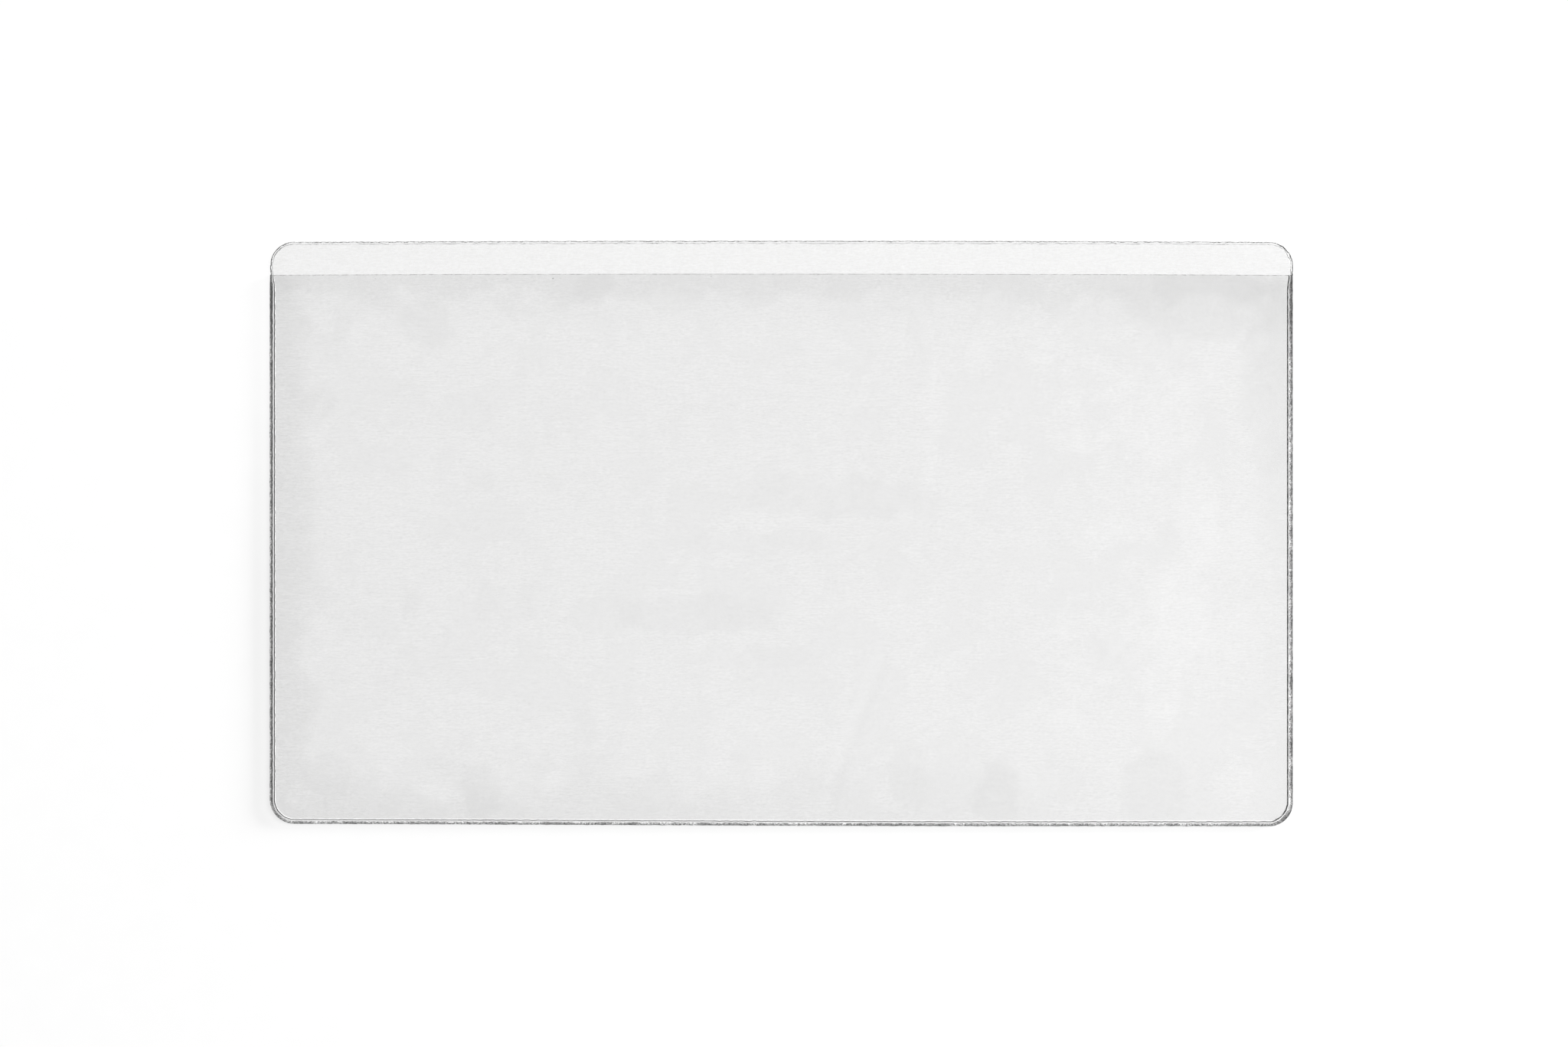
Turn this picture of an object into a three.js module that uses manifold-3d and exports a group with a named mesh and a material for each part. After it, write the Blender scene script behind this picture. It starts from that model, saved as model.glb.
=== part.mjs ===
// A self-adhesive pocket for a card: two clear films welded along three sides, open along
// the long top side, on a layer of adhesive that a release paper in two halves protects.
// It lies on its release paper: X runs along the long side, +Y points to the open side
// and +Z out of the front film. The origin is under the middle of the release paper.
// All lengths are in millimetres.

import * as THREE from "three";
import { mergeVertices } from "three/addons/utils/BufferGeometryUtils.js";
import Module from "manifold-3d";

// Outline of the whole pocket
const POCKET_WIDTH = 105;
const POCKET_HEIGHT = 60;
const CORNER_RADIUS = 2.4;
const ARC_STEPS = 12;

// Strip of the back film that the front film leaves bare at the mouth
const MOUTH_STRIP = 3.4;

// Thickness of each layer, from the table up
const LINER_THICKNESS = 0.1;
const ADHESIVE_THICKNESS = 0.05;
const BACK_FILM_THICKNESS = 0.2;
const FRONT_FILM_THICKNESS = 0.18;

// Room for the card between the two films, while the pocket is empty
const POCKET_GAP = 0.1;

// Welded margin along the left, bottom and right sides, across and up from its outer edge
const WELD_WIDTH = 0.5;
const WELD_MOUTH_WIDTH = 0.34;
const WELD_MOUTH_TAPER = 1.6;
const FLASH_WIDTH = 0.2;
const FLASH_ROUNDING = 0.05;
const FLASH_THICKNESS = 0.5;
const GROOVE_WIDTH = 0.06;
const GROOVE_THICKNESS = 0.26;
const LAND_THICKNESS = 0.36;

// Line that the welding tool presses into the bare strip, round its open edge
const RIM_LINE_WIDTH = 0.3;
const RIM_LINE_HEIGHT = 0.05;

// Free edge of the front film beside the weld
const FILM_CLEARANCE = 0.05;

// Wavy slit that parts the release paper
const SLIT_GAP = 0.3;
const SLIT_X = 9.5;
const SLIT_WAVE = 6.5;
const SLIT_PITCH = 100;
const SLIT_CREST_Y = 10;
const SLIT_STEPS = 24;

// Heights of the layers' faces
const LINER_TOP = LINER_THICKNESS;
const ADHESIVE_TOP = LINER_TOP + ADHESIVE_THICKNESS;
const BACK_FILM_TOP = ADHESIVE_TOP + BACK_FILM_THICKNESS;
const FRONT_FILM_BOTTOM = BACK_FILM_TOP + POCKET_GAP;

// Places in the plan
const SIDE_X = POCKET_WIDTH / 2;
const TOP_Y = POCKET_HEIGHT / 2;
const LIP_Y = TOP_Y - MOUTH_STRIP;

const wasm = await Module();
wasm.setup();

const clearFilm = { roughness: 0.12, metalness: 0, transparent: true };
const materials = {
  backFilm: new THREE.MeshStandardMaterial({ ...clearFilm, color: 0xeef0f1, opacity: 0.55 }),
  frontFilm: new THREE.MeshStandardMaterial({ ...clearFilm, color: 0xe6e8e9, opacity: 0.45 }),
  weld: new THREE.MeshStandardMaterial({ ...clearFilm, color: 0xb9bcbe, opacity: 0.8 }),
  adhesive: new THREE.MeshStandardMaterial({ ...clearFilm, color: 0xf2f1ea, opacity: 0.6 }),
  liner: new THREE.MeshStandardMaterial({ color: 0xf4f4f2, roughness: 0.55, metalness: 0 }),
};

// A corner of the outline, as stations that each hold a point of the outer edge and the
// direction from it into the pocket. The corner turns a quarter from the angle given.
function cornerStations(centreX, centreY, startAngle) {
  const stations = [];
  for (let step = 0; step <= ARC_STEPS; step++) {
    const angle = startAngle + (step / ARC_STEPS) * (Math.PI / 2);
    const outward = new THREE.Vector2(Math.cos(angle), Math.sin(angle));
    stations.push({
      point: new THREE.Vector2(centreX, centreY).addScaledVector(outward, CORNER_RADIUS),
      inward: outward.clone().negate(),
    });
  }
  return stations;
}

const ARC_X = SIDE_X - CORNER_RADIUS;
const ARC_Y = TOP_Y - CORNER_RADIUS;
const bottomLeft = cornerStations(-ARC_X, -ARC_Y, Math.PI);
const bottomRight = cornerStations(ARC_X, -ARC_Y, 1.5 * Math.PI);
const topRight = cornerStations(ARC_X, ARC_Y, 0);
const topLeft = cornerStations(-ARC_X, ARC_Y, Math.PI / 2);

// A station on the left or right side, at height y in the plan
function sideStation(side, y) {
  return {
    point: new THREE.Vector2(side * SIDE_X, y),
    inward: new THREE.Vector2(-side, 0),
  };
}

// The welded sides, counter-clockwise from the left end of the lip to its right end.
// Each station also holds how wide the weld is there: it narrows to its ends at the mouth.
const weldStations = [
  { ...sideStation(-1, LIP_Y), width: WELD_MOUTH_WIDTH },
  { ...sideStation(-1, LIP_Y - WELD_MOUTH_TAPER), width: WELD_WIDTH },
  ...[...bottomLeft, ...bottomRight].map((station) => ({ ...station, width: WELD_WIDTH })),
  { ...sideStation(1, LIP_Y - WELD_MOUTH_TAPER), width: WELD_WIDTH },
  { ...sideStation(1, LIP_Y), width: WELD_MOUTH_WIDTH },
];

// The open side, counter-clockwise from the right end of the lip to its left end
const mouthStations = [sideStation(1, LIP_Y), ...topRight, ...topLeft, sideStation(-1, LIP_Y)];

function inset(station, distance) {
  return station.point.clone().addScaledVector(station.inward, distance);
}

// A flat layer with the outline given, from one height to another
function layer(points, bottom, top) {
  const options = { depth: top - bottom, bevelEnabled: false };
  return new THREE.ExtrudeGeometry(new THREE.Shape(points), options).translate(0, 0, bottom);
}

function solid(geometry) {
  const bare = new THREE.BufferGeometry();
  bare.setAttribute("position", geometry.getAttribute("position"));
  bare.setIndex(geometry.index);
  const merged = mergeVertices(bare);
  const vertProperties = merged.getAttribute("position").array;
  const triVerts = new Uint32Array(merged.index.array);
  return new wasm.Manifold(new wasm.Mesh({ numProp: 3, vertProperties, triVerts }));
}

function geometryOf(manifold) {
  const mesh = manifold.getMesh();
  const geometry = new THREE.BufferGeometry();
  geometry.setAttribute("position", new THREE.BufferAttribute(mesh.vertProperties, 3));
  geometry.setIndex(new THREE.BufferAttribute(mesh.triVerts, 1));
  const shaded = geometry.toNonIndexed();
  shaded.computeVertexNormals();
  return shaded;
}

// Sweeps a closed profile along the stations. Each profile point is a share of the weld's
// width in from the outer edge, and a height. The profile runs clockwise seen along the way.
function sweep(stations, profile) {
  const positions = [];
  const index = [];
  const count = profile.length;
  for (const station of stations) {
    for (const [share, height] of profile) {
      const place = inset(station, share * station.width);
      positions.push(place.x, place.y, height);
    }
  }
  for (let s = 0; s + 1 < stations.length; s++) {
    for (let i = 0; i < count; i++) {
      const here = s * count + i;
      const beside = s * count + ((i + 1) % count);
      index.push(here, here + count, beside);
      index.push(beside, here + count, beside + count);
    }
  }
  const outline = profile.map(([share, height]) => new THREE.Vector2(share, height));
  const last = (stations.length - 1) * count;
  for (const [a, b, c] of THREE.ShapeUtils.triangulateShape(outline, [])) {
    index.push(a, c, b);
    index.push(last + a, last + b, last + c);
  }
  const geometry = new THREE.BufferGeometry();
  geometry.setAttribute("position", new THREE.Float32BufferAttribute(positions, 3));
  geometry.setIndex(index);
  return geometry;
}

// Release paper: each half keeps the pocket's own corners and ends at the slit
function slitX(y) {
  return SLIT_X + SLIT_WAVE * Math.cos((2 * Math.PI * (y - SLIT_CREST_Y)) / SLIT_PITCH);
}

function slitEdge(side) {
  const points = [];
  for (let step = 0; step <= SLIT_STEPS; step++) {
    const y = -TOP_Y + (step / SLIT_STEPS) * POCKET_HEIGHT;
    points.push(new THREE.Vector2(slitX(y) + (side * SLIT_GAP) / 2, y));
  }
  return points;
}

function linerHalf(side) {
  const corners = side < 0 ? [...topLeft, ...bottomLeft] : [...bottomRight, ...topRight];
  const cut = side < 0 ? slitEdge(side) : slitEdge(side).reverse();
  const points = [...corners.map((station) => station.point), ...cut];
  return layer(points, 0, LINER_TOP);
}

function adhesiveLayer() {
  const corners = [...bottomLeft, ...bottomRight, ...topRight, ...topLeft];
  return layer(
    corners.map((station) => station.point),
    LINER_TOP,
    ADHESIVE_TOP,
  );
}

// Back film: it reaches in from the weld, and out to the pocket's own edge at the mouth
function backFilm() {
  const welded = weldStations.map((station) => inset(station, station.width));
  const open = mouthStations.map((station) => station.point);
  const film = solid(layer([...welded, ...open], ADHESIVE_TOP, BACK_FILM_TOP));
  const lineOuter = mouthStations.map((station) => station.point);
  const lineInner = mouthStations.map((station) => inset(station, RIM_LINE_WIDTH));
  const line = layer(
    [...lineOuter, ...lineInner.reverse()],
    ADHESIVE_TOP + BACK_FILM_THICKNESS / 2,
    BACK_FILM_TOP + RIM_LINE_HEIGHT,
  );
  return geometryOf(film.add(solid(line)));
}

// Welded margin: a rough bead of flash outside, a groove, then a flat land beside the film
function weldSeam() {
  const grooveStart = FLASH_WIDTH / WELD_WIDTH;
  const grooveMiddle = (FLASH_WIDTH + GROOVE_WIDTH / 2) / WELD_WIDTH;
  const grooveEnd = (FLASH_WIDTH + GROOVE_WIDTH) / WELD_WIDTH;
  const rounding = FLASH_ROUNDING / WELD_WIDTH;
  const profile = [
    [0, ADHESIVE_TOP],
    [0, ADHESIVE_TOP + FLASH_THICKNESS - FLASH_ROUNDING],
    [rounding, ADHESIVE_TOP + FLASH_THICKNESS],
    [grooveStart - rounding, ADHESIVE_TOP + FLASH_THICKNESS],
    [grooveStart, ADHESIVE_TOP + FLASH_THICKNESS - FLASH_ROUNDING],
    [grooveMiddle, ADHESIVE_TOP + GROOVE_THICKNESS],
    [grooveEnd, ADHESIVE_TOP + LAND_THICKNESS],
    [1, ADHESIVE_TOP + LAND_THICKNESS],
    [1, ADHESIVE_TOP],
  ];
  return sweep(weldStations, profile);
}

// Front film: it fills the space inside the weld, up to its straight free edge at the lip
function frontFilm() {
  const outline = weldStations.map((s) => inset(s, s.width + FILM_CLEARANCE));
  return layer(outline, FRONT_FILM_BOTTOM, FRONT_FILM_BOTTOM + FRONT_FILM_THICKNESS);
}

const pocket = new THREE.Group();

function addPiece(name, geometry, material) {
  const mesh = new THREE.Mesh(geometry, material);
  mesh.name = name;
  pocket.add(mesh);
}

addPiece("release_liner_left", linerHalf(-1), materials.liner);
addPiece("release_liner_right", linerHalf(1), materials.liner);
addPiece("adhesive_layer", adhesiveLayer(), materials.adhesive);
addPiece("back_film", backFilm(), materials.backFilm);
addPiece("weld_seam", weldSeam(), materials.weld);
addPiece("front_film", frontFilm(), materials.frontFilm);

export default pocket;
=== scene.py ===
"""Looks of a clear self-adhesive card pocket that lies on a white surface.

Lengths are in metres. MM turns the small sizes of films and welds into metres.
"""

import math

import bpy
import numpy as np
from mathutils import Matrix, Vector, noise


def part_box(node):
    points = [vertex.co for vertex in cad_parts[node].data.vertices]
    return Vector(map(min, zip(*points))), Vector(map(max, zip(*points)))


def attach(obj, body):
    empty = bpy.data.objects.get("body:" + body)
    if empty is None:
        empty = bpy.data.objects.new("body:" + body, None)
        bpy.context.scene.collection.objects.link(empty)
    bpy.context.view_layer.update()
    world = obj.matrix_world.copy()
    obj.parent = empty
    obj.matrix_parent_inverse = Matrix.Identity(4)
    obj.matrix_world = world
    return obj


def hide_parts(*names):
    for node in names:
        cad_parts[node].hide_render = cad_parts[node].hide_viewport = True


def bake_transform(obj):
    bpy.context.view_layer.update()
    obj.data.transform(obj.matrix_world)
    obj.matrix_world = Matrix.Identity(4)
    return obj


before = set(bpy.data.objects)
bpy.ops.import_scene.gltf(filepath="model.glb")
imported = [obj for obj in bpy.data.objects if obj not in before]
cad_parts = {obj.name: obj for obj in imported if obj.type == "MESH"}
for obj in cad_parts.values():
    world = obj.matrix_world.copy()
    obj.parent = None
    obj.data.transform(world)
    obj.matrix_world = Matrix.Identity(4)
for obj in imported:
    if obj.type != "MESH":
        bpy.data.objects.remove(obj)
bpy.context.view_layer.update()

MM = 0.001

# Upper corners of the layers' boxes, and the lower one of the front film
COAT_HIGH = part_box("adhesive_layer")[1]
WELD_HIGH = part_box("weld_seam")[1]
BACK_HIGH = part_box("back_film")[1]
FRONT_LOW, FRONT_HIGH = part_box("front_film")
LINER_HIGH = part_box("release_liner_left")[1]

# Plan of the pocket: its right side, its open side and the lip of the front film
SIDE_X = COAT_HIGH[0]
TOP_Y = COAT_HIGH[1]
LIP_Y = FRONT_HIGH[1]

# Sizes that the frame's boxes don't give
CORNER_RADIUS = 2.4 * MM
WELD_WIDTH = 0.5 * MM
WELD_MOUTH_WIDTH = 0.34 * MM
WELD_MOUTH_TAPER = 1.6 * MM
RIM_LINE_WIDTH = 0.3 * MM
BACK_THICKNESS = 0.2 * MM
LAND_THICKNESS = 0.36 * MM
GROOVE_THICKNESS = 0.26 * MM
SLIT_X = 9.5 * MM
SLIT_WAVE = 6.5 * MM
SLIT_PITCH = 100 * MM
SLIT_CREST_Y = 10 * MM
SLIT_OPEN = 0.004 * MM
LINER_INSET = 0.1 * MM

# How far the long sides are from straight and parallel, as the tool cut them: the top falls
# to both ends, and the bottom rises to the left, between two places along X
TOP_BOW = 0.13 * MM
BOTTOM_TILT = 0.27 * MM
TILT_SPAN = (-1.3 * SIDE_X, 0.5 * SIDE_X)

# Layers that lie on each other keep a hair's breadth between them. A first row of faces as
# narrow as HOLD keeps the rim of a sheet crisp under smooth shading.
HAIR = 0.004 * MM
HOLD = 0.008 * MM

# Heights of the layers
LINER_TOP = LINER_HIGH[2]
ADHESIVE_TOP = COAT_HIGH[2]
BACK_TOP = ADHESIVE_TOP + BACK_THICKNESS
FRONT_TOP = FRONT_HIGH[2]
FRONT_THICKNESS = FRONT_HIGH[2] - FRONT_LOW[2]
WELD_TOP = WELD_HIGH[2]
LAND_TOP = ADHESIVE_TOP + LAND_THICKNESS
GROOVE_TOP = ADHESIVE_TOP + GROOVE_THICKNESS

# The photograph's size and scale, and where the pocket's middle lies in it, in pixels from
# its upper left corner. Then the camera's height, and its sensor's width in millimetres.
PHOTO_WIDTH = 2048
PHOTO_HEIGHT = 1367
PIXELS_PER_METRE = 12720
POCKET_PIXEL_X = 1020.9
POCKET_PIXEL_Y = 696
CAMERA_HEIGHT = 0.75
SENSOR_WIDTH = 36


def smoothstep(low, high, value):
    t = np.clip((value - low) / (high - low), 0, 1)
    return t * t * (3 - 2 * t)


def noise_at(x, y, size, seed=0.0):
    """Smooth noise from about -1 to 1, with lumps as wide as size."""
    return noise.noise(Vector((x / size + seed, y / size - seed, seed * 1.7)))


def as_cut(points):
    """The outline as the tool cut it: the long sides aren't quite straight and parallel."""
    x, y, z = np.asarray(points, float).T
    to_top = np.clip((y + TOP_Y) / (2 * TOP_Y), 0, 1)
    bow = -TOP_BOW * (x / SIDE_X) ** 2
    tilt = BOTTOM_TILT * (1 - smoothstep(*TILT_SPAN, x))
    return np.stack((x, y + bow * to_top + tilt * (1 - to_top), z), -1)


def make_piece(name, points, faces, material, floats=None):
    """A mesh with named values at its points."""
    mesh = bpy.data.meshes.new(name)
    mesh.from_pydata([tuple(p) for p in points], [], faces)
    for key, values in (floats or {}).items():
        attribute = mesh.attributes.new(key, "FLOAT", "POINT")
        attribute.data.foreach_set("value", np.asarray(values, np.float32))
    mesh.polygons.foreach_set("use_smooth", [True] * len(mesh.polygons))
    mesh.materials.append(material)
    piece = bpy.data.objects.new(name, mesh)
    bpy.context.scene.collection.objects.link(piece)
    return piece


def let_light_through(piece):
    """A clear film takes next to no light from what lies under it."""
    piece.visible_shadow = False
    piece.visible_diffuse = False


# Shaders

# How much the rolled dashes change the front film's cover, up or down, where the films cling
# and where they part. Then the back film's cover between its dashes and on them, under the
# front film and in the bare strip.
STREAK_CLINGING = 0.034
STREAK_PARTED = 0.004
STREAK_COVERED = (0.02, 0.038)
STREAK_BARE = (0.0, 0.125)

# Tone of the front film's haze, of its dark marks and of the back film's haze. The marks are
# flecks, and lines along the film's edges that are partly painted shade.
SMOKE_TONE = 0.2
MARK_TONE = 0.03
BACK_SMOKE_TONE = 0.45

# Share of the light that a clear film mirrors face on
MIRROR_FACE_ON = 0.04

# The weld's bands, each for the right side, the bottom and the left side. Places are shares
# of the weld's width from outside. The flash has a rim and a core, then comes the bright
# land, and a thin dark line lies on the land. Their dark tones are partly the plastic's own
# grey and partly painted shade: the dark that the weld's steep edges refract, which falls on a
# different band on each side, as the lamps stand to the right.
RIM_SHADED_TONES = (0.07, 0.25, 0.32)
CORE_SHADED_TONES = (0.32, 0.31, 0.05)
CORE_STARTS = (0.2, 0.12, 0.15)
LAND_STARTS = (0.74, 0.4, 0.46)
LINE_STARTS = (0.91, 0.64, 0.72)
LINE_ENDS = (1.5, 0.79, 0.94)
LINE_SHADED_TONES = (0.02, 0.1, 0.06)
LAND_TONE = 0.94

# Tone of the release paper's back against its coated face
BACK_TONE = 0.82

# Share of the light that the weld and the papers let through: on the left side near the
# bottom and near the mouth, along the bottom, and on the right side
SHADOW_CLEAR_LOW = 0.68
SHADOW_CLEAR_HIGH = 0.9
SHADOW_CLEAR_BELOW = 0.83
SHADOW_CLEAR_RIGHT = 0.98

# Where the share rises on the left side, along Y in millimetres
SHADOW_RISE = (-12.0, 24.0)

# Where the weld's flash turns paler towards the mouth, along Y in millimetres
FLASH_PALER = (14.0, 25.0)

# Each side of the slit shows as a faint line, pale on its left and, low down, dark on its
# right. Along Y in millimetres: where the dark one ends, where the pale one moves to the
# right by SLIT_MOVE, and where it fades out under the bare strip.
SLIT_DARK_ENDS = (-14.0, -10.0)
SLIT_MOVES = (14.0, 19.0)
SLIT_MOVE = 0.9
SLIT_FADES = (25.0, 27.0)

# How bright the surface is by itself near the pocket and far off, and from which distance to
# which it changes, in millimetres
FLOOR_GLOW = 0.07
FAR_GLOW = 0.45
GLOW_RISE = (130.0, 650.0)


class Shader:
    """A short way to write a material's nodes."""

    def __init__(self, name):
        self.material = bpy.data.materials.new(name)
        self.material.use_nodes = True
        self.tree = self.material.node_tree
        self.tree.nodes.clear()
        self.output = self.node("ShaderNodeOutputMaterial")

    def node(self, kind, **settings):
        made = self.tree.nodes.new(kind)
        for key, value in settings.items():
            setattr(made, key, value)
        return made

    def put(self, socket, value):
        if isinstance(value, bpy.types.NodeSocket):
            self.tree.links.new(value, socket)
        else:
            socket.default_value = value

    def math(self, operation, a, b=0.0, c=0.0, clamp=False):
        made = self.node("ShaderNodeMath", operation=operation, use_clamp=clamp)
        for socket, value in zip(made.inputs, (a, b, c)):
            self.put(socket, value)
        return made.outputs[0]

    def between(self, value, low, high, first=0.0, last=1.0):
        """Runs from first to last, smoothly, as value runs from low to high."""
        made = self.node("ShaderNodeMapRange", interpolation_type="SMOOTHSTEP")
        numbers = (value, low, high, first, last)
        for socket, number in zip(made.inputs, numbers):
            self.put(socket, number)
        return made.outputs[0]

    def place(self, scale=(1, 1, 1)):
        """The place on the pocket in millimetres, stretched by scale."""
        coordinates = self.node("ShaderNodeTexCoord")
        mapping = self.node("ShaderNodeMapping")
        self.put(mapping.inputs["Vector"], coordinates.outputs["Object"])
        self.put(mapping.inputs["Scale"], tuple(s / MM for s in scale))
        return mapping.outputs[0]

    def total(self, *values):
        whole = values[0]
        for value in values[1:]:
            whole = self.math("ADD", whole, value)
        return whole

    def product(self, *values):
        whole = values[0]
        for value in values[1:]:
            whole = self.math("MULTIPLY", whole, value)
        return whole

    def along(self, axis):
        """The place along the axis X, Y or Z, in millimetres."""
        apart = self.node("ShaderNodeSeparateXYZ")
        self.put(apart.inputs[0], self.place())
        return apart.outputs[axis]

    def noise(self, size, detail=2.0, roughness=0.5, stretch=(1, 1, 1), shift=0.0):
        """Noise from 0 to 1 with lumps of size millimetres, longer along an axis by stretch."""
        made = self.node("ShaderNodeTexNoise")
        scale = tuple(1 / (size * s) for s in stretch)
        moved = self.node("ShaderNodeVectorMath", operation="ADD")
        self.put(moved.inputs[0], self.place(scale))
        self.put(moved.inputs[1], (shift, shift, shift))
        self.put(made.inputs["Vector"], moved.outputs[0])
        self.put(made.inputs["Scale"], 1.0)
        self.put(made.inputs["Detail"], detail)
        self.put(made.inputs["Roughness"], roughness)
        return made.outputs["Fac"]

    def attribute(self, name):
        return self.node("ShaderNodeAttribute", attribute_name=name).outputs["Fac"]

    def by_side(self, right, below, left):
        """A value for the right side, the bottom and the left side, blended at the corners."""
        side = self.attribute("side")
        to_right = self.between(side, -1.0, 0.0, right - below, 0.0)
        to_left = self.between(side, 0.0, 1.0, 0.0, left - below)
        return self.total(below, to_right, to_left)

    def grey(self, value):
        made = self.node("ShaderNodeCombineColor")
        for socket in made.inputs:
            self.put(socket, value)
        return made.outputs[0]

    def principled(self, colour, roughness, specular=0.5):
        made = self.node("ShaderNodeBsdfPrincipled")
        self.put(made.inputs["Base Color"], colour)
        self.put(made.inputs["Roughness"], roughness)
        made.inputs["Specular IOR Level"].default_value = specular
        return made

    def mix(self, share, first, second):
        made = self.node("ShaderNodeMixShader")
        self.put(made.inputs[0], share)
        self.put(made.inputs[1], first)
        self.put(made.inputs[2], second)
        return made.outputs[0]

    def mirror_share(self):
        """How much a clear film mirrors: little face on, and more at a glance."""
        facing = self.node("ShaderNodeLayerWeight")
        facing.inputs["Blend"].default_value = 0.5
        glance = self.math("POWER", facing.outputs["Facing"], 5.0)
        return self.math("MULTIPLY_ADD", glance, 1 - MIRROR_FACE_ON, MIRROR_FACE_ON)

    def bump(self, height, distance):
        made = self.node("ShaderNodeBump")
        self.put(made.inputs["Height"], height)
        made.inputs["Distance"].default_value = distance
        return made.outputs[0]

    def finish(self, surface):
        self.tree.links.new(surface, self.output.inputs["Surface"])
        return self.material

    def finish_with_soft_shadow(self, surface, through):
        """Lets a share of the light through, so that the edge of a thin clear thing throws
        only a faint shadow."""
        path = self.node("ShaderNodeLightPath")
        clear = self.node("ShaderNodeBsdfTransparent")
        share = self.math("MULTIPLY", path.outputs["Is Shadow Ray"], through)
        return self.finish(self.mix(share, surface, clear.outputs[0]))


def clear_film(shader, cover, colour, roughness, normal):
    """A clear film: mostly what is behind it, a little haze, and a gloss on top.

    Only its upper face has them, so its lower face lets everything through.
    """
    haze = shader.node("ShaderNodeBsdfDiffuse")
    clear = shader.node("ShaderNodeBsdfTransparent")
    gloss = shader.node("ShaderNodeBsdfGlossy")
    shader.put(haze.inputs["Color"], colour)
    shader.put(gloss.inputs["Roughness"], roughness)
    shader.put(gloss.inputs["Normal"], normal)
    body = shader.mix(cover, clear.outputs[0], haze.outputs[0])
    upper = shader.mix(shader.mirror_share(), body, gloss.outputs[0])
    return shader.mix(shader.attribute("top_side"), clear.outputs[0], upper)


def streaks(shader):
    """Fine short dashes along the long side, as an embossed roll leaves them in a film."""
    fine = shader.noise(0.128, detail=1.0, roughness=0.5, stretch=(3.2, 1, 1))
    long = shader.noise(0.17, detail=0.0, stretch=(9, 1, 1), shift=3.0)
    return shader.total(shader.product(fine, 0.72), shader.product(long, 0.28))


def light_through(shader):
    """Share of the light let through by the pocket's left edge, more towards the mouth."""
    return shader.between(shader.along("Y"), *SHADOW_RISE, SHADOW_CLEAR_LOW, SHADOW_CLEAR_HIGH)


def inner_shade_line(shader):
    """How dark the line is where the film meets the weld on the right: 0 none, 1 black.

    It is painted shade, the dark that the film's edge refracts, shown on the right side only.
    """
    dashes = shader.noise(0.3, detail=2.0, roughness=0.7, shift=9.1)
    line = shader.between(shader.attribute("weld_gap"), 0.08, 0.13, 1.0, 0.0)
    broken = shader.between(dashes, 0.38, 0.58, 0.85, 1.0)
    return shader.product(line, broken, shader.by_side(1.0, 0.0, 0.0))


def front_film_material():
    shader = Shader("front_film_clear")
    lines = streaks(shader)
    lip_gap = shader.attribute("lip_gap")
    dashes = shader.noise(0.16, detail=2.0, roughness=0.7, stretch=(2.5, 1, 1), shift=4.4)
    flecks = shader.noise(0.24, detail=1.0, stretch=(1.6, 1, 1), shift=7.7)
    broken = shader.between(dashes, 0.35, 0.65, 0.25, 0.85)
    # The dark line along the lip is partly the film's own edge and partly painted shade, the dark
    # that the edge refracts.
    lip = shader.product(shader.between(lip_gap, 0.0, 0.1, 1.0, 0.0), broken)
    fleck = shader.product(
        shader.between(lip_gap, 0.2, 1.4, 1.0, 0.0),
        shader.between(flecks, 0.74, 0.8, 0.0, 0.6),
    )
    marks = shader.math("MAXIMUM", shader.math("MAXIMUM", lip, fleck), inner_shade_line(shader))
    strength = shader.between(shader.attribute("parted"), 0.0, 1.0, STREAK_CLINGING, STREAK_PARTED)
    weave = shader.product(shader.between(lines, 0.25, 0.75, -1.0, 1.0), strength)
    # The smoke attribute holds the haze together with painted shade, darker to the left and under
    # the lip.
    smoke = shader.total(shader.attribute("smoke"), weave)
    cover = shader.math("MAXIMUM", smoke, marks, clamp=True)
    tone = shader.between(marks, 0.0, 0.3, SMOKE_TONE, MARK_TONE)
    roughness = shader.between(lines, 0.2, 0.8, 0.1, 0.3)
    normal = shader.bump(lines, 0.004 * MM)
    return shader.finish(clear_film(shader, cover, shader.grey(tone), roughness, normal))


def back_film_material():
    shader = Shader("back_film_clear")
    lines = streaks(shader)
    cloud = shader.noise(1.8, detail=3.0, roughness=0.65, shift=3.7)
    bare = shader.between(shader.along("Y"), LIP_Y / MM - 0.2, LIP_Y / MM)
    low, high = (
        shader.between(bare, 0.0, 1.0, covered, open_air)
        for covered, open_air in zip(STREAK_COVERED, STREAK_BARE)
    )
    smoke = shader.total(
        shader.between(lines, 0.25, 0.75, low, high),
        shader.between(cloud, 0.35, 0.65, 0.0, 0.01),
    )
    roughness = shader.between(lines, 0.2, 0.8, 0.1, 0.28)
    normal = shader.bump(lines, 0.003 * MM)
    haze = shader.grey(BACK_SMOKE_TONE)
    return shader.finish(clear_film(shader, smoke, haze, roughness, normal))


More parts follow.
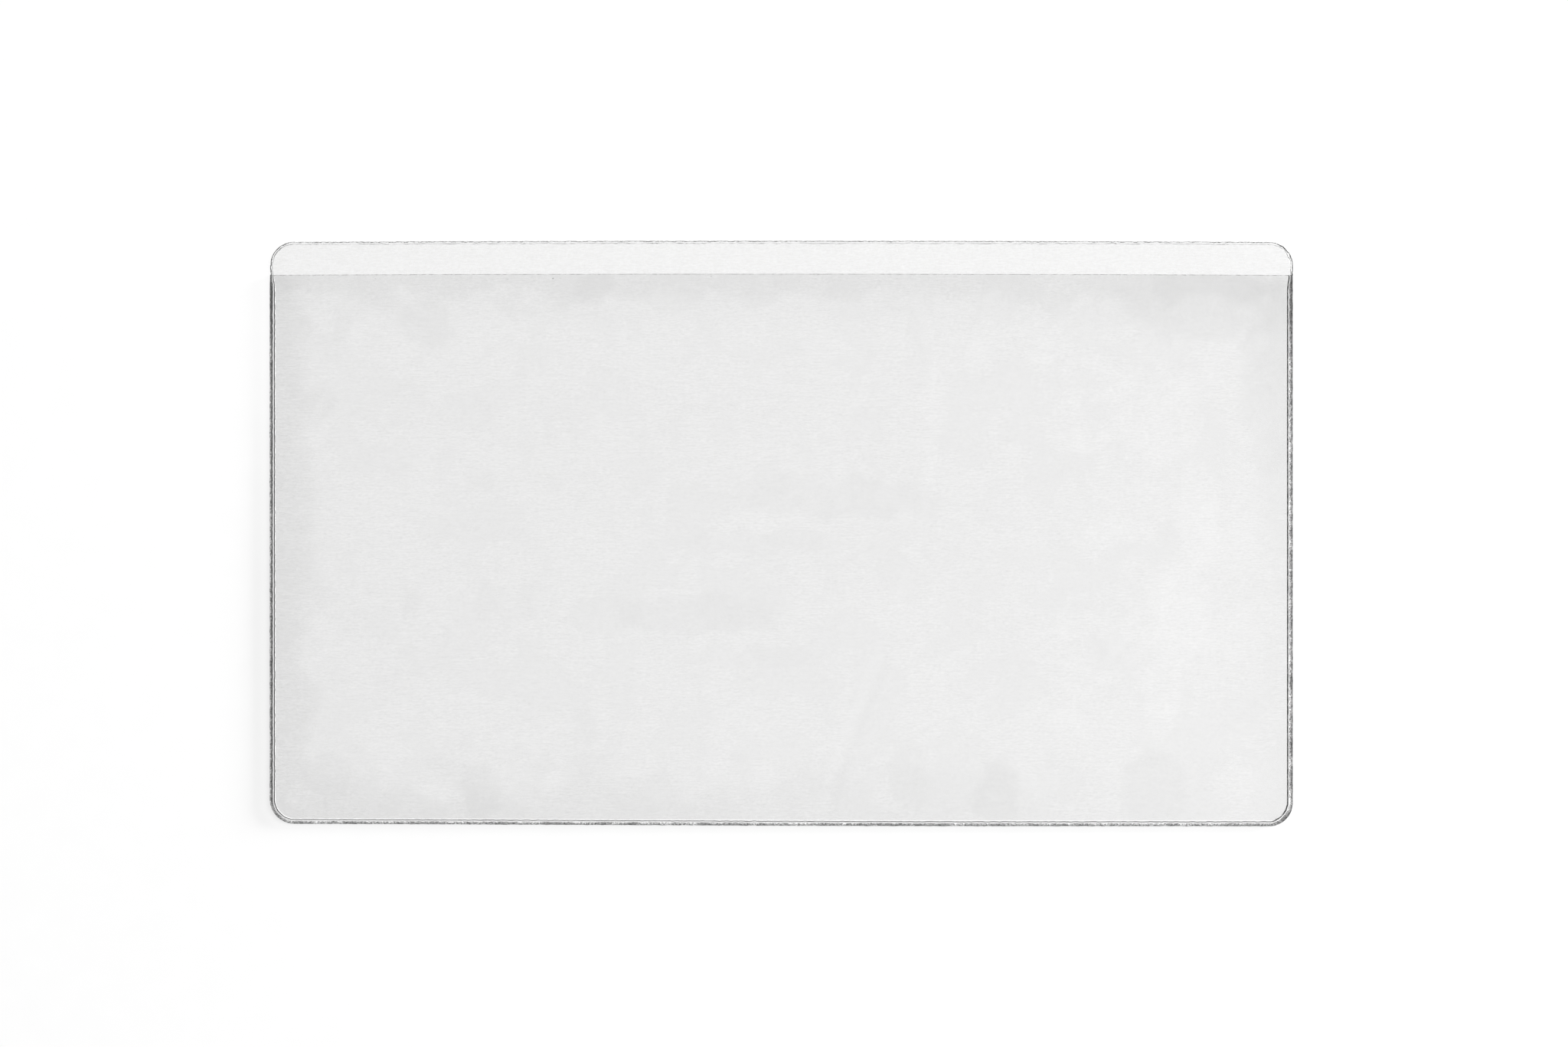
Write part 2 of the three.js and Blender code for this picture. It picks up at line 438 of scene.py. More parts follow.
def weld_material():
    """Across the weld from outside: rough grey flash, a bright land, a thin dark line.

    The dark tones are partly painted shade, the dark that the weld's steep edges refract.
    """
    shader = Shader("weld_clear")
    grain = shader.noise(0.16, detail=3.0, roughness=0.75)
    clots = shader.noise(1.3, detail=3.0, roughness=0.6, shift=2.0)
    wander = shader.noise(0.6, detail=2.0, shift=9.1)
    shift = shader.between(wander, 0.3, 0.7, -0.04, 0.04)
    across = shader.total(shader.attribute("across"), shift)

    def past(starts):
        return shader.math("SUBTRACT", across, shader.by_side(*starts))

    # Painted shade: the dark tones, set apart for each side, stand for the dark that the steep
    # edges refract.
    rim = shader.by_side(*RIM_SHADED_TONES)
    core = shader.by_side(*CORE_SHADED_TONES)
    specks = shader.between(grain, 0.35, 0.7, 0.35, 2.6)
    soft = shader.between(clots, 0.35, 0.65, 0.7, 1.4)
    at_mouth = shader.between(shader.along("Y"), *FLASH_PALER, 1.0, 0.4)
    flash = shader.between(past(CORE_STARTS), -0.03, 0.03, rim, core)
    flash = shader.product(flash, specks, soft, at_mouth)
    tone = shader.between(past(LAND_STARTS), 0.0, 0.03, flash, LAND_TONE)
    line = shader.product(
        shader.between(past(LINE_STARTS), 0.0, 0.03),
        shader.between(past(LINE_ENDS), 0.0, 0.03, 1.0, 0.0),
    )
    tone = shader.between(line, 0.0, 1.0, tone, shader.by_side(*LINE_SHADED_TONES))
    shade = shader.math("MINIMUM", tone, LAND_TONE)
    skin = shader.principled(shader.grey(shade), shader.between(grain, 0.2, 0.8, 0.2, 0.5))
    shader.put(skin.inputs["Normal"], shader.bump(grain, 0.02 * MM))
    side = shader.attribute("side")
    through = shader.between(side, 0.1, 0.9, SHADOW_CLEAR_BELOW, light_through(shader))
    through = shader.between(side, -1.0, -0.5, SHADOW_CLEAR_RIGHT, through)
    return shader.finish_with_soft_shadow(skin.outputs[0], through)


def rim_line_material():
    """Two thin grey lines, broken by specks, with a pale band between them."""
    shader = Shader("rim_line_clear")
    across = shader.attribute("across")
    grain = shader.noise(0.2, detail=3.0, roughness=0.7)
    dashes = shader.noise(0.5, detail=3.0, roughness=0.7, stretch=(1.5, 1, 1), shift=6.0)
    slant = shader.math("ABSOLUTE", shader.attribute("side"))

    def near(place, shift, solid, faint):
        wander = shader.noise(0.5, detail=2.0, roughness=0.6, shift=shift)
        moved = shader.total(across, -place, shader.between(wander, 0.3, 0.7, -0.16, 0.16))
        return shader.between(shader.math("ABSOLUTE", moved), solid, faint, 1.0, 0.0)

    outer = shader.between(slant, 0.1, 0.9, 0.72, 1.6)
    inner = shader.between(slant, 0.1, 0.9, 0.85, 1.5)
    outer = shader.product(near(0.14, 8.0, 0.1, 0.22), outer)
    inner = shader.product(near(0.8, 5.0, 0.04, 0.14), inner)
    broken = shader.product(outer, shader.between(grain, 0.35, 0.6, 0.45, 1.0))
    whole = shader.product(inner, shader.between(dashes, 0.35, 0.6, 0.3, 0.8))
    line = shader.math("MAXIMUM", broken, whole)
    tone = shader.between(line, 0.0, 1.0, 0.9, 0.05)
    skin = shader.principled(shader.grey(tone), 0.3)
    shader.put(skin.inputs["Normal"], shader.bump(grain, 0.006 * MM))
    clear = shader.node("ShaderNodeBsdfTransparent")
    cover = shader.between(line, 0.0, 0.5, 0.3, 0.85)
    return shader.finish(shader.mix(cover, clear.outputs[0], skin.outputs[0]))


def adhesive_material():
    shader = Shader("adhesive_clear")
    specks = shader.noise(0.35, detail=4.0, roughness=0.7)
    cover = shader.between(specks, 0.35, 0.75, 0.01, 0.06)
    body = shader.node("ShaderNodeBsdfDiffuse")
    body.inputs["Color"].default_value = (0.8, 0.79, 0.75, 1)
    clear = shader.node("ShaderNodeBsdfTransparent")
    upper = shader.mix(cover, clear.outputs[0], body.outputs[0])
    return shader.finish(shader.mix(shader.attribute("top_side"), clear.outputs[0], upper))


def liner_material():
    """Release paper: close fibres, a pale coated face and a slightly greyer back."""
    shader = Shader("release_paper")
    fibres = shader.noise(0.5, detail=6.0, roughness=0.65, stretch=(2.2, 1, 1))
    cloud = shader.noise(9.0, detail=3.0, roughness=0.5, shift=4.0)
    base = shader.between(fibres, 0.3, 0.7, 0.908, 0.919)
    clouded = shader.math("MULTIPLY_ADD", cloud, 0.03, shader.math("SUBTRACT", base, 0.015))
    along = shader.along("Y")
    gaps = shader.noise(7.0, detail=1.0, stretch=(4, 1, 1), shift=1.3)
    broken = shader.between(gaps, 0.38, 0.58, 0.35, 1.0)
    move = shader.between(along, *SLIT_MOVES, 0.0, SLIT_MOVE)
    beside = shader.math("SUBTRACT", shader.attribute("slit_gap"), move)
    pale = shader.product(
        shader.between(beside, -1.5, -0.9, 0.0, 0.018),
        shader.between(beside, -0.2, 0.3, 1.0, 0.0),
        shader.between(along, *SLIT_FADES, 1.0, 0.15),
        broken,
    )
    dark = shader.product(
        shader.between(beside, 0.1, 0.4, 0.0, -0.013),
        shader.between(beside, 0.9, 1.4, 1.0, 0.0),
        shader.between(along, *SLIT_DARK_ENDS, 1.0, 0.0),
    )
    face = shader.between(shader.attribute("top_side"), 0.0, 1.0, BACK_TONE, 1.0)
    tone = shader.product(shader.total(clouded, pale, dark), face)
    skin = shader.principled(shader.grey(tone), shader.between(fibres, 0.3, 0.7, 0.4, 0.6), 0.4)
    shader.put(skin.inputs["Normal"], shader.bump(fibres, 0.004 * MM))
    from_bottom = shader.math("ADD", along, TOP_Y / MM)
    through = shader.between(from_bottom, 0.1, 0.5, SHADOW_CLEAR_BELOW, light_through(shader))
    return shader.finish_with_soft_shadow(skin.outputs[0], through)


def floor_material():
    """A white surface that keeps the pocket's shadow, and stays white out to the horizon."""
    shader = Shader("white_surface")
    grain = shader.noise(3.0, detail=3.0)
    body = shader.node("ShaderNodeBsdfDiffuse")
    shader.put(body.inputs["Color"], shader.grey(shader.between(grain, 0.2, 0.8, 0.94, 0.95)))
    path = shader.node("ShaderNodeLightPath")
    seen = shader.math("MAXIMUM", path.outputs["Is Camera Ray"], path.outputs["Is Glossy Ray"])
    seen = shader.math("MAXIMUM", seen, path.outputs["Is Transmission Ray"])
    glow = shader.node("ShaderNodeEmission")
    glow.inputs["Color"].default_value = (1, 1, 1, 1)
    away = shader.node("ShaderNodeVectorMath", operation="LENGTH")
    shader.put(away.inputs[0], shader.place())
    rising = shader.between(away.outputs["Value"], *GLOW_RISE, FLOOR_GLOW, FAR_GLOW)
    shader.put(glow.inputs["Strength"], shader.math("MULTIPLY", seen, rising))
    both = shader.node("ShaderNodeAddShader")
    shader.put(both.inputs[0], body.outputs[0])
    shader.put(both.inputs[1], glow.outputs[0])
    return shader.finish(both.outputs[0])


# Outlines


def corner(centre_x, centre_y, start, steps):
    """A quarter of a rounded corner, as (outer point, direction inward)."""
    stations = []
    for step in range(steps + 1):
        angle = start + step / steps * math.pi / 2
        out = np.array((math.cos(angle), math.sin(angle)))
        stations.append((np.array((centre_x, centre_y)) + CORNER_RADIUS * out, -out))
    return stations


def straight(start, end, inward, pitch):
    count = max(1, round(float(np.linalg.norm(np.subtract(end, start))) / pitch))
    return [
        (np.array(start) + (np.array(end) - start) * (i / count), np.array(inward))
        for i in range(count + 1)
    ]


ARC_X = SIDE_X - CORNER_RADIUS
ARC_Y = TOP_Y - CORNER_RADIUS
INNER_RADIUS = CORNER_RADIUS - WELD_WIDTH
INNER_Y = WELD_WIDTH - TOP_Y
ARC_STEPS = 20
STATION_PITCH = 0.22 * MM


def weld_path():
    """From the left end of the lip down, along the bottom and up to its right end."""
    left = straight((-SIDE_X, LIP_Y), (-SIDE_X, -ARC_Y), (1, 0), STATION_PITCH)
    bottom_left = corner(-ARC_X, -ARC_Y, math.pi, ARC_STEPS)
    bottom = straight((-ARC_X, -TOP_Y), (ARC_X, -TOP_Y), (0, 1), STATION_PITCH)
    bottom_right = corner(ARC_X, -ARC_Y, 1.5 * math.pi, ARC_STEPS)
    right = straight((SIDE_X, -ARC_Y), (SIDE_X, LIP_Y), (-1, 0), STATION_PITCH)
    return left[:-1] + bottom_left + bottom[1:-1] + bottom_right + right[1:]


def mouth_path():
    """From the right end of the lip up, along the open side and down to its left end."""
    right = straight((SIDE_X, LIP_Y), (SIDE_X, ARC_Y), (-1, 0), STATION_PITCH)
    top_right = corner(ARC_X, ARC_Y, 0, ARC_STEPS)
    top = straight((ARC_X, TOP_Y), (-ARC_X, TOP_Y), (0, -1), STATION_PITCH)
    top_left = corner(-ARC_X, ARC_Y, math.pi / 2, ARC_STEPS)
    left = straight((-SIDE_X, ARC_Y), (-SIDE_X, LIP_Y), (1, 0), STATION_PITCH)
    return right[:-1] + top_right + top[1:-1] + top_left + left[1:]


def weld_width(y):
    narrow = smoothstep(LIP_Y - WELD_MOUTH_TAPER, LIP_Y, y)
    return WELD_WIDTH + (WELD_MOUTH_WIDTH - WELD_WIDTH) * narrow


def swept(name, path, profile_at, material):
    """Sweeps a closed profile along a path. profile_at gives (across, height, mark) rows.

    The value named side is 1 on the left side of the pocket, -1 on the right and 0 between.
    """
    points = []
    marks = []
    sides = []
    for outer, inward in path:
        rows = profile_at(outer)
        for across, height, mark in rows:
            place = outer + inward * across
            points.append((place[0], place[1], height))
            marks.append(mark)
            sides.append(inward[0])
    count = len(rows)
    faces = []
    for station in range(len(path) - 1):
        for i in range(count):
            here = station * count + i
            beside = station * count + (i + 1) % count
            faces.append((here, here + count, beside + count, beside))
    faces.append(tuple(range(count)))
    last = (len(path) - 1) * count
    faces.append(tuple(reversed(range(last, last + count))))
    return make_piece(name, as_cut(points), faces, material, {"across": marks, "side": sides})


# Welded margin

# How far the flash stands outside the outline: everywhere (less than 0, so just inside), and
# how much more at the bottom and on the left. Then how ragged its edge is, how lumpy its
# crest, and how low the crest lies.
FLASH_OUT = -0.01 * MM
FLASH_OUT_BELOW = 0.1 * MM
FLASH_OUT_LEFT = 0.08 * MM
FLASH_RAGGED = 0.045 * MM
FLASH_LUMPS = 0.03 * MM
FLASH_LOW = 0.03 * MM


def weld_profile(outer):
    """The weld's section, from the foot of the flash over the groove to the land."""
    x, y = outer
    scale = weld_width(y) / WELD_WIDTH
    ragged = noise_at(x, y, 0.7 * MM) + 0.6 * noise_at(x, y, 0.3 * MM, 7)
    lump = noise_at(x, y, 1.1 * MM, 3) + 0.5 * noise_at(x, y, 0.4 * MM, 5)
    below = 1 - smoothstep(-TOP_Y, -ARC_Y, y)
    left = 1 - smoothstep(-SIDE_X, -ARC_X, x)
    out = FLASH_OUT + max(FLASH_OUT_BELOW * below, FLASH_OUT_LEFT * left)
    edge = -out - FLASH_RAGGED * max(0.0, 0.25 + ragged)
    top = WELD_TOP - FLASH_LOW + FLASH_LUMPS * lump
    base = ADHESIVE_TOP + HAIR
    rows = (
        (edge * 0.3, base, 0.0),
        (edge, base + 0.12 * MM, 0.0),
        (edge * 0.8, top - 0.1 * MM, 0.04),
        (0.04 * MM, top - 0.02 * MM, 0.08),
        (0.11 * MM, top, 0.22),
        (0.17 * MM, top - 0.05 * MM, 0.34),
        (0.21 * MM, GROOVE_TOP + 0.05 * MM, 0.42),
        (0.235 * MM, GROOVE_TOP, 0.47),
        (0.265 * MM, LAND_TOP - 0.02 * MM, 0.53),
        (0.3 * MM, LAND_TOP, 0.6),
        (0.4 * MM, LAND_TOP, 0.8),
        (0.49 * MM, LAND_TOP, 0.98),
        (0.5 * MM, LAND_TOP - HAIR, 1.0),
        (0.5 * MM, base, 1.0),
    )
    return [(across * scale, height, mark) for across, height, mark in rows]


# Line pressed into the bare strip: two ridges with a low band between them

RIM_WOBBLE = 0.03 * MM
RIM_LOW_BAND = 0.012 * MM


def rim_profile(outer):
    """The pressed line's section, from outside."""
    x, y = outer
    wobble = RIM_WOBBLE * (noise_at(x, y, 0.9 * MM, 11) + noise_at(x, y, 0.4 * MM, 13))
    ridge = BACK_HIGH[2]
    low = BACK_TOP + RIM_LOW_BAND
    base = BACK_TOP + HAIR
    return [
        (-0.02 * MM, base, 0.0),
        (-0.02 * MM + wobble * 0.5, low, 0.0),
        (0.04 * MM + wobble, ridge, 0.15),
        (0.1 * MM + wobble, low, 0.35),
        (0.19 * MM + wobble, low, 0.65),
        (0.24 * MM + wobble, ridge, 0.85),
        (RIM_LINE_WIDTH + wobble * 0.5, low, 1.0),
        (RIM_LINE_WIDTH + wobble * 0.5, base, 1.0),
    ]


# Films and papers, as closed sheets over a grid


def graded(length, fine, coarse, edge, hold):
    """Places from 0 to length, fine within edge of both ends and coarse between.

    A first step as short as hold keeps the rim crisp under smooth shading.
    """
    ends = np.linspace(0, edge, max(2, round(edge / fine) + 1))[:-1]
    ends = np.insert(ends, 1, hold)
    middle = np.linspace(edge, length - edge, max(2, round((length - 2 * edge) / coarse) + 1))
    return np.concatenate((ends, middle, length - ends[::-1]))


def closed_sheet(name, xs, ys, bottoms, tops, material, floats, open_sides=()):
    """A closed sheet from grids of places and heights. open_sides names sides with no wall."""
    rows, columns = xs.shape
    count = rows * columns
    points = np.concatenate(
        (
            np.stack((xs, ys, tops), -1).reshape(-1, 3),
            np.stack((xs, ys, bottoms), -1).reshape(-1, 3),
        )
    )
    index = np.arange(count).reshape(rows, columns)
    a, b = index[:-1, :-1].ravel(), index[:-1, 1:].ravel()
    c, d = index[1:, 1:].ravel(), index[1:, :-1].ravel()
    flipped = (xs[0, -1] - xs[0, 0]) * (ys[-1, 0] - ys[0, 0]) < 0
    upper = np.stack((a, b, c, d), -1)
    lower = np.stack((a, d, c, b), -1) + count
    sides = {
        "first_row": index[0, ::-1],
        "last_row": index[-1, :],
        "first_column": index[:, 0],
        "last_column": index[::-1, -1],
    }
    faces = [upper, lower]
    for side, line in sides.items():
        if side in open_sides:
            continue
        here, there = line[:-1], line[1:]
        faces.append(np.stack((here, there, there + count, here + count), -1))
    faces = np.concatenate(faces)
    if flipped:
        faces = faces[:, ::-1]
    values = {key: np.concatenate((grid.ravel(), grid.ravel())) for key, grid in floats.items()}
    values["top_side"] = np.concatenate((np.ones(count), np.zeros(count)))
    return make_piece(name, as_cut(points), faces.tolist(), material, values)


def inner_half_width(y):
    """Half the width inside the weld at height y, round the bottom corners."""
    fall = np.clip(-ARC_Y - y, 0, INNER_RADIUS)
    pull = INNER_RADIUS - np.sqrt(np.maximum(INNER_RADIUS**2 - fall**2, 0))
    return SIDE_X - weld_width(y) - pull


def outer_half_width(y):
    """Half the width of the whole pocket at height y, round all four corners."""
    fall = np.clip(np.abs(y) - ARC_Y, 0, CORNER_RADIUS)
    return SIDE_X - CORNER_RADIUS + np.sqrt(np.maximum(CORNER_RADIUS**2 - fall**2, 0))


# Slow swells of the front film, and low ripples along it in the middle of the pocket. Each
# ripple has its place along Y in millimetres and its slope.
SWELL_HEIGHT = 0.055 * MM
RIPPLES = ((6.8, -0.015), (0.9, -0.01), (-3.4, -0.02), (-10.5, 0.03))
RIPPLE_HEIGHT = 0.012 * MM
RIPPLE_HALF_WIDTH = 0.7 * MM
RIPPLE_STARTS = (-24 * MM, -12 * MM)
RIPPLE_ENDS = (12 * MM, 14 * MM)


def film_wave(x, y):
    """How far the front film stands above its lowest place."""
    swell = 0.5 + 0.5 * noise_at(x, y, 26 * MM, 2) + 0.25 * noise_at(x, y, 9 * MM, 4)
    height = SWELL_HEIGHT * max(0.0, swell)
    window = smoothstep(*RIPPLE_STARTS, x) * (1 - smoothstep(*RIPPLE_ENDS, x))
    for middle, slope in RIPPLES:
        away = (y - middle * MM - slope * x) / RIPPLE_HALF_WIDTH
        height += RIPPLE_HEIGHT * window * math.exp(-away * away)
    return height


# Haze of the front film: the share by which SMOKE_TONE covers what lies behind. It falls from
# left to right, which is painted shade, darker away from the lamps on the right, and on the
# right it rises towards the mouth. Margins along the weld and under the lip have more. The
# weld's margin is much stronger on the left, as painted shade. The band under the lip is
# partly haze where the films part and partly painted shade under the raised lip. The lip's is
# in two steps, and each margin is full up to the first of its two distances and gone at the
# second.
SMOKE_AND_SHADE_LEFT = 0.12
SMOKE_AND_SHADE_RIGHT = 0.092
SMOKE_RISE = 0.025
SMOKE_AND_SHADE_WELD_LEFT = 0.09
SMOKE_WELD_RIGHT = 0.015
WELD_MARGIN = (0.5 * MM, 6.5 * MM)
SMOKE_AND_SHADE_AT_LIP = 0.055
LIP_MARGIN = (1.2 * MM, 3.4 * MM)
SMOKE_AND_SHADE_BELOW_LIP = 0.03
WIDE_LIP_MARGIN = (2 * MM, 6.5 * MM)
SMOKE_MOTTLE = 0.008

# Where the films cling in small pale spots, right of the middle: it starts and ends along X,
# and ends above and below. Then how much haze a spot loses.
CLING_STARTS = (22 * MM, 30 * MM)
CLING_ENDS = (43 * MM, 46 * MM)
CLING_LIMITS = (17 * MM, 22 * MM)
SMOKE_CLING = 0.016

# How much of the weave a parted place loses, at the left side and at the right
PARTED_LEFT = 0.55
PARTED_RIGHT = 1.0

# A patch is even up to the first and gone at the second of these, as squares of the distance
# in half widths. PATCH_GAIN multiplies the shares of the rows below.
PATCH_CORE = 0.55
PATCH_RIM = 1.5
PATCH_GAIN = 1.35

# Patches where the two films part and look darker, or cling and look paler (less than 0).
# Each row gives the middle, half width and half height in millimetres, and the share.
PATCHES = (
    (-36.3, 21.3, 2.6, 2.4, 0.026),
    (-45.1, 21.3, 1.1, 1.5, 0.026),
    (-19.1, 25.3, 2.0, 1.6, 0.035),
    (-39.2, 11.9, 1.1, 1.3, 0.014),
    (-29.4, 13.9, 2.4, 1.4, 0.010),
    (-30.9, 5.6, 1.7, 1.3, 0.010),
    (-26.2, 9.1, 1.2, 2.0, 0.010),
    (5.2, 3.6, 11.5, 2.1, 0.019),
    (-13.6, 1.7, 1.0, 1.7, 0.012),
    (-38.0, -7.0, 1.0, 1.3, 0.013),
    (-30.5, -7.0, 1.2, 1.6, 0.012),
    (-25.8, -7.0, 1.0, 1.6, 0.012),
    (-18.4, -8.5, 4.0, 1.9, 0.014),
    (-8.4, -8.3, 7.6, 2.0, 0.020),
    (-20.3, -20.0, 1.2, 1.8, 0.020),
    (-46.3, -25.0, 2.4, 2.2, 0.027),
    (-30.9, -26.6, 1.8, 2.6, 0.034),
    (13.1, -25.0, 2.2, 3.0, 0.018),
    (22.1, -27.0, 2.1, 3.2, 0.036),
    (38.2, -26.6, 3.6, 3.8, 0.026),
    (33.5, -12.0, 2.4, 2.2, 0.010),
    (50.5, 16.0, 3.2, 9.5, 0.030),
    (44.0, 23.4, 9.0, 3.6, 0.040),
    (3.0, 0.9, 12.0, 0.9, -0.007),
    (-2.0, -1.2, 10.0, 1.0, 0.011),
    (-2.0, -12.8, 9.0, 1.0, 0.010),
    (-8.0, -11.0, 10.0, 0.9, -0.007),
    (31.2, 9.5, 2.8, 0.9, -0.014),
    (35.1, 0.1, 3.2, 1.6, -0.014),
    (31.2, -9.7, 2.8, 1.6, -0.014),
    (29.6, -19.2, 2.0, 1.2, -0.012),
    (19.8, 18.2, 1.1, 1.4, -0.013),
    (27.2, 18.6, 1.1, 1.3, -0.013),
    (40.0, 11.5, 3.0, 4.2, -0.018),
    (42.6, 2.5, 2.2, 5.0, -0.017),
    (41.2, -7.5, 2.6, 5.4, -0.018),
    (46.5, -6.0, 4.5, 11.0, -0.008),
    (39.2, -16.5, 1.8, 5.0, -0.018),
)


def haze_and_shade_at(x, y, weld_gap, lip_gap):
    """The front film's haze at a place, and how far the films are parted there, up to 1.

    The haze holds painted shade: more to the left, along the left weld and under the lip.
    """
    jitter_x = 0.9 * noise_at(x, y, 3.0 * MM, 6) + 0.5 * noise_at(x, y, 1.1 * MM, 8)
    jitter_y = 0.9 * noise_at(x, y, 3.0 * MM, 9) + 0.5 * noise_at(x, y, 1.1 * MM, 12)
    to_right = (x + SIDE_X) / (2 * SIDE_X)
    # Painted shade: the film is darker to the left, away from the lamps on the right.
    share = SMOKE_AND_SHADE_LEFT + (SMOKE_AND_SHADE_RIGHT - SMOKE_AND_SHADE_LEFT) * to_right
    share += SMOKE_RISE * to_right * y / TOP_Y
    ragged = max(0.3, 1 + 0.9 * noise_at(x, y, 4.0 * MM, 14) + 0.5 * jitter_x)
    # Painted shade: the margin along the weld is much darker on the left side.
    at_weld = SMOKE_AND_SHADE_WELD_LEFT + (SMOKE_WELD_RIGHT - SMOKE_AND_SHADE_WELD_LEFT) * to_right
    share += at_weld * (1 - smoothstep(*WELD_MARGIN, weld_gap / ragged))
    # Under the lip: partly haze where the films part, partly painted shade under the raised lip.
    share += SMOKE_AND_SHADE_AT_LIP * (1 - smoothstep(*LIP_MARGIN, lip_gap / ragged))
    share += SMOKE_AND_SHADE_BELOW_LIP * (1 - smoothstep(*WIDE_LIP_MARGIN, lip_gap))
    cloud = noise_at(x, y, 6.0 * MM, 16) + 0.7 * noise_at(x, y, 2.6 * MM, 18)
    cloud += 0.5 * noise_at(x, y, 1.3 * MM, 20)
    share += SMOKE_MOTTLE * (2 * smoothstep(-0.18, 0.18, cloud) - 1)
    parted = smoothstep(0.0, 0.2, cloud)
    clinging = noise_at(x, y, 2.4 * MM, 22) + 0.5 * noise_at(x, y, 1.2 * MM, 24)
    zone = smoothstep(*CLING_STARTS, x) * (1 - smoothstep(*CLING_ENDS, x))
    zone *= 1 - smoothstep(*CLING_LIMITS, abs(y))
    clinging = zone * smoothstep(0.08, 0.22, clinging)
    share -= SMOKE_CLING * clinging
    parted *= 1 - clinging
    for middle_x, middle_y, half_x, half_y, strength in PATCHES:
        away_x = (x / MM - middle_x + jitter_x) / half_x
        away_y = (y / MM - middle_y + jitter_y) / half_y
        away = away_x * away_x + away_y * away_y
        if away < PATCH_RIM:
            patch = 1 - smoothstep(PATCH_CORE, PATCH_RIM, away)
            share += PATCH_GAIN * strength * patch
            parted = max(parted, patch) if strength > 0 else parted * (1 - patch)
    return share, parted * (PARTED_LEFT + (PARTED_RIGHT - PARTED_LEFT) * to_right)


# Pitch of the front film's grid, near its rims and between them
RIM_PITCH = 0.06 * MM
FILM_PITCH = 0.45 * MM

# The front film leaves room under the solid's height for its waves. They grow to their full
# height over WAVE_REACH from the weld, and the film itself rises from the land over WELD_RISE.
# At the lip its edge is rounded down, by LIP_DROP over LIP_ROUNDING.
WAVE_ROOM = 0.03 * MM
WAVE_REACH = 5 * MM
WELD_RISE = 1.3 * MM
LIP_DROP = 0.03 * MM
LIP_ROUNDING = 0.1 * MM


def front_film_half(side, material):
    """The front film from the weld to the middle of the pocket, on one side."""
    v = INNER_Y + graded(LIP_Y - INNER_Y, RIM_PITCH, FILM_PITCH, 1.2 * MM, HOLD)
    reach = SIDE_X - WELD_WIDTH
    u = 1 - graded(reach, RIM_PITCH, FILM_PITCH, 0.9 * MM, HOLD)[::-1] / reach
    # The halves meet in the middle of the pocket, where no fine steps are needed
    wide_step = np.concatenate(([True], np.diff(u) > 0.3 * MM / reach))
    u = u[wide_step | (u > 0.9)]
    half = inner_half_width(v)
    xs = side * np.outer(half, u)
    ys = np.repeat(v[:, None], len(u), 1)
    corner_x = np.maximum(np.abs(xs) - ARC_X, 0)
    corner_y = np.maximum(-ARC_Y - ys, 0)
    in_corner = (corner_x > 0) & (corner_y > 0)
    to_corner = INNER_RADIUS - np.hypot(corner_x, corner_y)
    to_side = SIDE_X - weld_width(ys) - np.abs(xs)
    to_bottom = ys - INNER_Y
    weld_gap = np.where(in_corner, to_corner, np.minimum(to_side, to_bottom))
    weld_gap = np.maximum(weld_gap, 0)
    lip_gap = LIP_Y - ys
    wave = np.array([film_wave(x, y) for x, y in zip(xs.ravel(), ys.ravel())]).reshape(xs.shape)
    flat = FRONT_TOP - WAVE_ROOM
    tops = LAND_TOP + (flat - LAND_TOP) * smoothstep(0, WELD_RISE, weld_gap)
    tops += wave * smoothstep(0, WAVE_REACH, weld_gap)
    tops -= LIP_DROP * (1 - smoothstep(0, LIP_ROUNDING, lip_gap))
    bottoms = np.maximum(tops - FRONT_THICKNESS, BACK_TOP + HAIR * 2)
    places = zip(xs.ravel(), ys.ravel(), weld_gap.ravel(), lip_gap.ravel())
    # smoke is the film's haze together with its painted shade.
    smoke, parted = np.array([haze_and_shade_at(*place) for place in places]).T
    floats = {
        "weld_gap": weld_gap / MM,
        "lip_gap": lip_gap / MM,
        "smoke": smoke,
        "parted": parted,
        "side": -side * smoothstep(-0.5 * MM, 0.5 * MM, to_bottom - to_side),
    }
    name = "front_film_left_half" if side < 0 else "front_film_right_half"
    piece = closed_sheet(name, xs, ys, bottoms, tops, material, floats, ("first_column",))
    let_light_through(piece)
    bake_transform(piece)
    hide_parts("front_film")


def back_film_sheet(material):
    """The back film inside the weld, and out to the outline in the bare strip."""
    inner = INNER_Y + graded(LIP_Y - INNER_Y, 0.25 * MM, 1.5 * MM, 2.0 * MM, HOLD)
    strip = LIP_Y + graded(TOP_Y - LIP_Y, RIM_PITCH, 0.4 * MM, 0.5 * MM, HOLD)
    v = np.concatenate((inner, strip[1:]))
    half = np.where(v <= LIP_Y, inner_half_width(v), outer_half_width(v))
    u = graded(2.0, 0.0015, 0.02, 0.03, HOLD / SIDE_X) - 1
    xs = np.outer(half, u)
    ys = np.repeat(v[:, None], len(u), 1)
    bottoms = np.full(xs.shape, ADHESIVE_TOP + HAIR)
    tops = np.full(xs.shape, BACK_TOP)
    piece = closed_sheet("back_film_sheet", xs, ys, bottoms, tops, material, {})
    let_light_through(piece)
    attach(piece, "pocket")
    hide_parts("back_film")


def adhesive_coat(material):
    """The coat of adhesive over the whole back."""
    v = -TOP_Y + graded(2 * TOP_Y, 0.1 * MM, 2 * MM, 2.4 * MM, HOLD)
    u = graded(2.0, 0.004, 0.04, 0.04, HOLD / SIDE_X) - 1
    xs = np.outer(outer_half_width(v), u)
    ys = np.repeat(v[:, None], len(u), 1)
    bottoms = np.full(xs.shape, LINER_TOP + HAIR)
    tops = np.full(xs.shape, ADHESIVE_TOP - HAIR)
    piece = closed_sheet("adhesive_coat", xs, ys, bottoms, tops, material, {})
    let_light_through(piece)
    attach(piece, "pocket")
    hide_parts("adhesive_layer")


def slit_x(y):
    return SLIT_X + SLIT_WAVE * np.cos(2 * math.pi * (y - SLIT_CREST_Y) / SLIT_PITCH)


